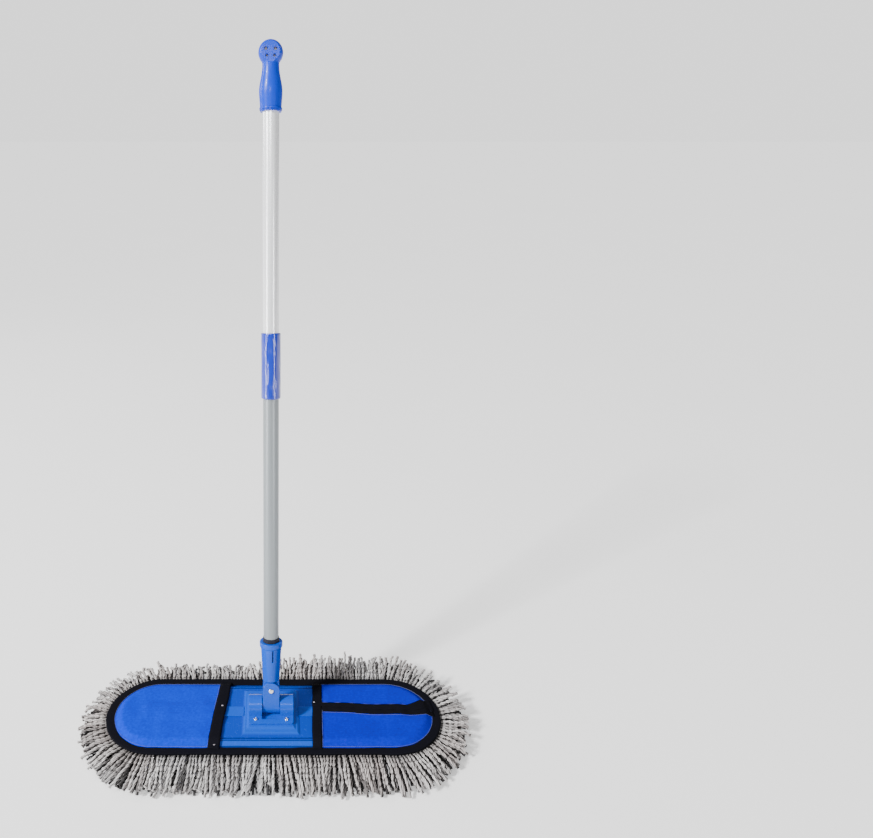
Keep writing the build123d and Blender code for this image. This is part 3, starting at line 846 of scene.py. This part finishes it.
def ribbon(name, course, width, lift, thickness, node):
    """A strip of black tape laid along a course on the cloth; width gives its width at a share along it."""
    across, crown = 6, 0.0004
    rows = []
    for index, place in enumerate(course):
        before, after = course[max(0, index - 1)], course[min(len(course) - 1, index + 1)]
        ahead = (after - before).normalized()
        side = Vector((-ahead.y, ahead.x))
        wide = width(index / (len(course) - 1))
        row = []
        for t in spread(-1, 1, across):
            fray = 1 + 0.08 * noise.noise(Vector((place.x * 60, place.y * 60, 3 * t)))
            at = place + side * t * fray * wide / 2
            wave = 0.0003 * math.sin(index * 0.9 + 2 * t)
            row.append((at.x, at.y, panel_z(at.x, at.y) + lift + crown * (1 - t * t) + wave))
        rows.append(row)
    tape = thicken(grid_object(name, rows), thickness)
    tape.data.materials.append(finish("black_tape"))
    return on_head(tape, "black_tape", node)


def binding_tree():
    """A rounded band swept round the pad's edge."""
    group, given, out = geometry_group("Edge binding", {"Width": 0.013, "Height": 0.0042})
    inputs = {"Width": given["Width"], "Height": given["Height"]}
    shape = add_node(group, "GeometryNodeCurvePrimitiveQuadrilateral", inputs).outputs["Curve"]
    inputs = {"Count": 4, "Radius": 0.0015, "Curve": shape}
    section = add_node(group, "GeometryNodeFilletCurve", inputs, mode="POLY").outputs[0]
    inputs = {"Curve": given["Geometry"]}
    path = add_node(group, "GeometryNodeSetCurveNormal", inputs, mode="Z_UP").outputs[0]
    radius = add_node(group, "GeometryNodeInputRadius").outputs[0]
    inputs = {"Curve": path, "Profile Curve": section, "Scale": radius}
    swept = add_node(group, "GeometryNodeCurveToMesh", inputs).outputs["Mesh"]
    return finish_geometry(group, given, out, swept)


class MOP_OT_backing(bpy.types.Operator):
    """Makes the pad's canvas backing and the tape that binds its edge"""

    bl_idname = "mop.backing"
    bl_label = "Backing and edge tape"

    def execute(self, context):
        rows = []
        half = PAD_RADIUS - BACKING_INSET
        for y in spread(-half, half, 24):
            reach = end_reach(y, BACKING_INSET)
            rows.append([(x, y, BACKING_TOP - 0.0006) for x in spread(-reach, reach, 48)])
        backing = thicken(grid_object("backing_cloth", rows), 0.0009)
        backing.data.materials.append(finish("backing_canvas"))
        on_head(backing, "backing_canvas", "pad_backing")
        path = []
        for place, out in edge_points(240):
            wave = 0.0009 * noise.noise(Vector((place.x * 40, place.y * 40, 1)))
            wide = 1.0 + 0.16 * noise.noise(Vector((place.x * 19, place.y * 19, 4)))
            wide += 0.24 * max(0.0, out.y) + 0.26 * max(0.0, out.x) ** 2 + 0.14 * max(0.0, -out.x) ** 2
            middle = place - out * (TAPE_WIDTH / 2 + wave)
            path.append((Vector((*middle, (TAPE_LOW.z + TAPE_HIGH.z) / 2)), wide))
        line = curve_object("binding_path", [path], cyclic=True)
        sizes = {"Width": TAPE_WIDTH, "Height": TAPE_HIGH.z - TAPE_LOW.z}
        binding = baked(line, binding_tree(), "edge_binding", "black_tape", sizes)
        on_head(binding, "black_tape", "edge_tape")
        return {"FINISHED"}


class MOP_OT_pockets(bpy.types.Operator):
    """Makes the plain pocket and the two flaps of the split pocket, with their tapes"""

    bl_idname = "mop.pockets"
    bl_label = "Pockets"

    def execute(self, context):
        limit = PAD_RADIUS - TUCK
        plain = cloth_panel("plain_sheet", lambda y: -end_reach(y, TUCK), plain_mouth_x,
                            lambda x: -limit, lambda x: limit, plain_mouth_x)
        plain, flat, area = finish_cloth(plain, "plain_pocket_cloth", "plain_canvas", "plain_pocket", 1.0)
        # Widened 1.2 times and shifted: the extra black tape is painted shadow beside the pocket's mouth.
        tape = self.mouth_tape("plain_mouth", lambda y: plain_mouth_x(y) + PLAIN_TAPE_SHIFT, -limit, limit,
                               "plain_mouth_tape", 1.2)
        self.split_flap("rear", 1, limit)
        self.split_flap("front", -1, limit)
        return {"FINISHED"}

    def split_flap(self, word, side, limit):
        """One flap of the split pocket: cloth, mouth tape and slit tape."""
        def lip(x):
            return slit_line(x) + (0.0 if side > 0 else LIP_OVERLAP)

        def outer(x):
            return side * limit

        near = lip(split_mouth_x(SLIT_Y))
        low, high = (lip, outer) if side > 0 else (outer, lip)
        first, last = (near, limit) if side > 0 else (-limit, near)
        sheet = cloth_panel(f"split_{word}_sheet", split_mouth_x, lambda y: end_reach(y, TUCK), low, high,
                            split_mouth_x, lip, rows=26)
        cloth, flat, area = finish_cloth(sheet, f"split_{word}_cloth", "split_canvas", f"split_pocket_{word}",
                                         4.0 + side)
        mouth = self.mouth_tape(f"split_{word}_mouth", split_mouth_x, first, last, f"split_mouth_tape_{word}")
        slit = self.slit_tape(word, side, lip)

    def mouth_tape(self, name, mouth, first, last, node, share=1.0):
        width = bpy.context.scene.mop_cloth.mouth_tape * share
        course = [Vector((mouth(y) + 0.0006 * math.sin(40 * y), y)) for y in spread(first, last, 48)]
        return ribbon(name + "_binding", course, lambda along: width, TAPE_LIFT, 0.0012, node)

    def slit_tape(self, word, side, lip):
        """The tape on one lip of the slit, which widens where the lips part."""
        width = bpy.context.scene.mop_cloth.slit_tape
        start, end = split_mouth_x(SLIT_Y) + 0.004, end_reach(SLIT_Y, TUCK)
        flare, lift = (1.1, 0.0013) if side > 0 else (0.15, 0.0008)
        steps = 60

        def wide(share):
            return width * (1.0 + flare * smooth((share - 0.74) / 0.26))

        course = []
        for i, x in enumerate(spread(start, end, steps)):
            course.append(Vector((x, lip(x) + side * wide(i / steps) / 2)))
        return ribbon(f"slit_{word}_binding", course, wide, lift, 0.001, f"slit_tape_{word}")


# ---- Stitches ----


def stitch_tree():
    """Short thread stitches along a line."""
    group, given, out = geometry_group(
        "Stitches", {"Pitch": 0.0036, "Length": 0.0026, "Thread radius": 0.00028}
    )
    inputs = {"Curve": given["Geometry"], "Length": given["Pitch"]}
    points = add_node(group, "GeometryNodeResampleCurve", inputs, mode="LENGTH").outputs[0]
    ahead = add_node(group, "GeometryNodeInputTangent").outputs[0]
    turn = add_node(group, "FunctionNodeAlignRotationToVector", {"Vector": ahead}, axis="Z").outputs[0]
    inputs = {"Vertices": 6, "Radius": given["Thread radius"], "Depth": given["Length"]}
    thread = add_node(group, "GeometryNodeMeshCylinder", inputs).outputs["Mesh"]
    inputs = {"Points": points, "Instance": thread, "Rotation": turn}
    sewn = add_node(group, "GeometryNodeInstanceOnPoints", inputs).outputs["Instances"]
    return finish_geometry(group, given, out, sewn)


class MOP_OT_stitches(bpy.types.Operator):
    """Sews pale thread beside the tapes and white bar tacks where they meet"""

    bl_idname = "mop.stitches"
    bl_label = "Stitches"

    def execute(self, context):
        cloth = context.scene.mop_cloth
        half = cloth.mouth_tape / 2
        lines = []
        for side, mouth in ((-1, plain_mouth_x), (1, split_mouth_x)):
            lines.append(self.across(mouth, side * (half + 0.0004)))
            lines.append(self.around(side, mouth))
        for side in (-1, 1):
            lines.append(self.along_slit(side * (cloth.slit_tape + 0.0006)))
        tacks = []
        for x, y in self.tack_places(half):
            height = panel_z(x, y) + TACK_LIFT
            for row in (y - 0.0007, y, y + 0.0007):
                tacks.append([(Vector((end, row, height)), 1) for end in (x - 0.0010, x + 0.0010)])
        self.sew("edge_stitches", "pale_thread", lines, {"Pitch": 0.0031, "Length": 0.0027})
        sizes = {"Pitch": 0.001, "Length": 0.001, "Thread radius": 0.00034}
        self.sew("bar_tacks", "white_thread", tacks, sizes)
        return {"FINISHED"}

    def sew(self, name, thread, lines, sizes):
        piece = baked(curve_object(name + "_paths", lines), stitch_tree(), name, thread, sizes)
        on_head(piece, "black_tape")

    def across(self, mouth, shift):
        """Beside a mouth's tape."""
        limit = PAD_RADIUS - TAPE_WIDTH - 0.001
        return [on_cloth(mouth(y) + shift, y, STITCH_LIFT) for y in spread(-limit, limit, 40)]

    def around(self, side, mouth):
        """Beside the binding, from the mouth's front end to its rear end."""
        radius = PAD_RADIUS - TAPE_WIDTH - 0.0005
        points = [(side * (abs(mouth(-PAD_RADIUS)) + 0.009), -radius)]
        for turn in spread(-math.pi / 2, math.pi / 2, 160):
            points.append((side * (END_CENTRE + radius * math.cos(turn)), radius * math.sin(turn)))
        points.append((side * (abs(mouth(PAD_RADIUS)) + 0.009), radius))
        return [on_cloth(x, y, STITCH_LIFT) for x, y in points]

    def along_slit(self, shift):
        """Beside the slit's tapes."""
        start, end = split_mouth_x(SLIT_Y) + 0.009, end_reach(SLIT_Y, TAPE_WIDTH + 0.004)
        return [on_cloth(x, slit_line(x) + shift, STITCH_LIFT) for x in spread(start, end, 60)]

    def tack_places(self, half):
        """Where a mouth's tape meets the binding, and where the slit starts."""
        edge = PAD_RADIUS - TAPE_WIDTH - 0.002
        yield plain_mouth_x(-edge) + 0.002, -edge
        yield plain_mouth_x(0.008) + half * 0.5, 0.008
        yield split_mouth_x(SLIT_Y + 0.012) - half * 0.6, SLIT_Y + 0.012


# ---- Finishes ----

HARD_FINISHES = {
    "moulded_blue": ("base_plate", "pivot_bracket", "yoke", "socket"),
    "grip_blue": ("hand_grip",),
    "sleeve_blue": ("joint_sleeve",),
    "upper_pole_metal": ("upper_pole",),
    "lower_pole_metal": ("lower_pole",),
    "fastener_steel": ("bracket_screws", "pivot_shaft", "hinge_rivet", "rivet_washer"),
    "collar_black": ("pole_collar",),
    "plug_grey": ("pole_plug",),
}


class MOP_OT_materials(bpy.types.Operator):
    """Makes every material"""

    bl_idname = "mop.materials"
    bl_label = "Materials"

    def execute(self, context):
        scene = context.scene
        weave, wear = weave_group(), wear_group()
        cloth, hard, yarn = scene.mop_cloth, scene.mop_hardware, scene.mop_yarn
        cloth_material("plain_canvas", tuple(cloth.left_blue), weave)
        cloth_material("split_canvas", tuple(cloth.right_blue), weave)
        cloth_material("backing_canvas", (0.004, 0.03, 0.22), weave, 700.0)
        tape_material(tuple(cloth.black))
        yarn_material(tuple(yarn.light), tuple(yarn.dark), yarn_group())
        thread_material("pale_thread", (0.16, 0.19, 0.42))
        thread_material("white_thread", (0.55, 0.50, 0.56))
        # The plate gets painted light and shade by height: raised steps and skirt lit, flats and grooves
        # shaded.
        plastic_material("moulded_blue", tuple(hard.flat), wear, raised=tuple(hard.plastic))
        plastic_material("grip_blue", tuple(hard.grip), wear, 0.3, 0.0003, 0.06)
        plastic_material("plug_grey", (0.05, 0.055, 0.06), wear, 0.5, 0.0003, 0.0)
        sleeve_material(tuple(hard.sleeve), wear)
        metal_material("upper_pole_metal", (0.97, 0.98, 1.0), wear, 0.22, 0.35)
        metal_material("lower_pole_metal", (0.27, 0.295, 0.31), wear, 0.34, 0.35)
        metal_material("fastener_steel", (0.80, 0.80, 0.82), wear, 0.22, 1.0)
        rubber_material((0.012, 0.012, 0.02), wear)
        return {"FINISHED"}


class MOP_OT_hardware(bpy.types.Operator):
    """Paints the plate, bracket, joint, poles, sleeve and grip"""

    bl_idname = "mop.hardware"
    bl_label = "Hard parts"

    def execute(self, context):
        for slot, nodes in HARD_FINISHES.items():
            for node in nodes:
                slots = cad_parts[node].data.materials
                slots.clear()
                slots.append(finish(slot))
        return {"FINISHED"}


# ---- Stage ----

# Name, power in watts, size, place, and whether the light shows only in gloss.
LIGHTS = (
    ("key_light", 26.0, (0.7, 0.7), (-1.7, -0.9, 1.9), False),
    ("front_card", 12.0, (0.9, 0.3), (-0.25, -1.7, 1.95), False),
    ("left_strip", 16.0, (0.22, 1.1), (-1.5, -0.75, 0.65), True),
    ("right_strip", 9.0, (0.12, 1.1), (1.05, -1.15, 0.72), True),
    ("rim_light", 20.0, (0.8, 0.8), (-2.3, 1.2, 1.6), False),
)
LIGHT_TARGET = Vector((0, 0.08, 0.45))
SUN_DIRECTION = Vector((1.0, 0.62, -0.86))
# The room's light on the mop, and its brightness behind the floor's far edge.
ROOM_LIGHT, BACKDROP = 0.36, 1.56


class MOP_OT_stage(bpy.types.Operator):
    """Makes the floor, the lights and the camera"""

    bl_idname = "mop.stage"
    bl_label = "Stage"

    def execute(self, context):
        settings = context.scene.mop_stage
        self.make_floor(settings.floor_size / 2)
        self.make_sun()
        for light in LIGHTS:
            self.make_light(*light)
        self.make_room(context)
        self.make_camera(context, settings)
        return {"FINISHED"}

    def make_floor(self, half):
        floor = grid_object("studio_floor", [[(x, y, 0) for x in (-half, half)] for y in (-half, half)])
        tree, surface = material("studio_white", 0.7)
        tint(tree, surface, noise_node(tree, coordinates(tree), 1.5), (0.90, 0.90, 0.90), (0.94, 0.94, 0.94))
        surface.inputs["Emission Color"].default_value = (1, 1, 1, 1)
        surface.inputs["Emission Strength"].default_value = 0.45
        floor.data.materials.append(finish("studio_white"))

    def make_sun(self):
        data = bpy.data.lights.new("window_light", "SUN")
        data.energy = 5.4
        data.angle = 0.16
        placed("window_light", data).rotation_euler = SUN_DIRECTION.to_track_quat("-Z", "Y").to_euler()

    def make_light(self, name, power, size, place, gloss_only):
        data = bpy.data.lights.new(name, "AREA")
        data.shape = "RECTANGLE"
        data.energy = power
        data.size, data.size_y = size
        light = placed(name, data)
        light.visible_camera = False
        light.visible_diffuse = not gloss_only
        light.location = place
        light.rotation_euler = (LIGHT_TARGET - Vector(place)).to_track_quat("-Z", "Y").to_euler()

    def make_room(self, context):
        world = bpy.data.worlds.new("soft_studio")
        world.use_nodes = True
        tree = world.node_tree
        sky = tree.nodes["Background"]
        sky.inputs["Color"].default_value = (1, 1, 1, 1)
        sight = add_node(tree, "ShaderNodeLightPath").outputs["Is Camera Ray"]
        plug(tree, between(tree, sight, 0, 1, ROOM_LIGHT, BACKDROP), sky.inputs["Strength"])
        context.scene.world = world

    def make_camera(self, context, settings):
        data = bpy.data.cameras.new("front_camera")
        data.lens = settings.lens
        data.shift_x = settings.shift
        camera = placed("front_camera", data)
        camera.location = (0, -settings.eye_distance, settings.eye_height)
        camera.rotation_euler = (math.pi / 2 - settings.pitch, 0, 0)
        context.scene.camera = camera


# ---- Add-on ----

OPERATORS = (
    MOP_OT_materials, MOP_OT_hardware, MOP_OT_underside, MOP_OT_fringe,
    MOP_OT_backing, MOP_OT_pockets, MOP_OT_stitches, MOP_OT_stage,
)
SETTINGS = {
    "mop_yarn": YarnSettings,
    "mop_cloth": ClothSettings,
    "mop_hardware": HardwareSettings,
    "mop_stage": StageSettings,
}


class MOP_PT_panel(bpy.types.Panel):
    """Lists the steps that build the mop's looks"""

    bl_idname = "MOP_PT_panel"
    bl_label = "Flat Mop"
    bl_space_type = "VIEW_3D"
    bl_region_type = "UI"
    bl_category = "Flat Mop"

    def draw(self, context):
        for operator in OPERATORS:
            self.layout.operator(operator.bl_idname)
        for name, kind in SETTINGS.items():
            group = getattr(context.scene, name)
            box = self.layout.box()
            for prop in kind.__annotations__:
                box.prop(group, prop)


def register():
    for name, kind in SETTINGS.items():
        bpy.utils.register_class(kind)
        setattr(bpy.types.Scene, name, PointerProperty(type=kind))
    for operator in OPERATORS:
        bpy.utils.register_class(operator)
    bpy.utils.register_class(MOP_PT_panel)


def unregister():
    bpy.utils.unregister_class(MOP_PT_panel)
    for operator in reversed(OPERATORS):
        bpy.utils.unregister_class(operator)
    for name, kind in SETTINGS.items():
        delattr(bpy.types.Scene, name)
        bpy.utils.unregister_class(kind)


def main():
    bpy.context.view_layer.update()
    register()
    for operator in OPERATORS:
        group, name = operator.bl_idname.split(".")
        getattr(getattr(bpy.ops, group), name)()


if __name__ == "__main__":
    main()
